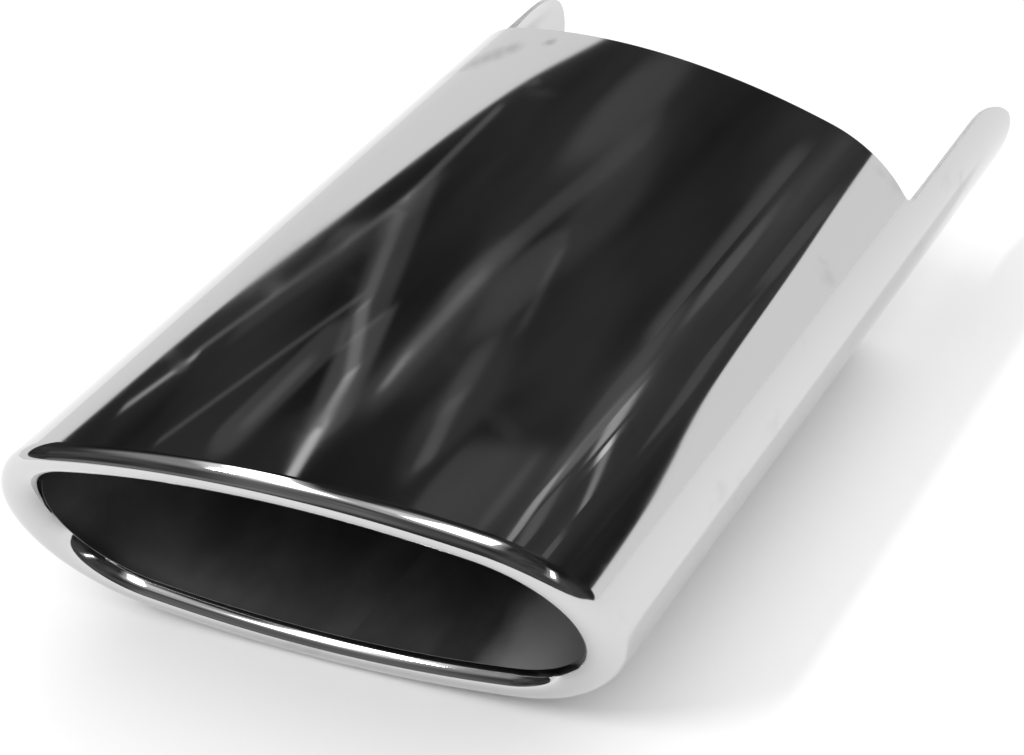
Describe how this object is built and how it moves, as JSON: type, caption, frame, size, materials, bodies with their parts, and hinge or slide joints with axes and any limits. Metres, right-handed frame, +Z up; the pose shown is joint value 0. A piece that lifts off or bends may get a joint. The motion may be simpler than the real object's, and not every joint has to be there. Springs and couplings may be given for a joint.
{
  "type": "exhaust tip",
  "caption": "Oval exhaust tip of polished sheet steel, with a slanted mouth rolled inward to a smooth lip and round-ended tongues reaching back from its side walls.",
  "frame": {"origin": "bottom centre of the whole tip, on the floor that it rests on", "axes": "+X across the width, +Y from the mouth towards the tongues, +Z up across the height"},
  "size_m": [0.15, 0.2472, 0.078],
  "materials": {
    "steel": "mirror-polished stainless sheet steel"
  },
  "bodies": {
    "root": {"tip": "steel"}
  },
  "joints": []
}
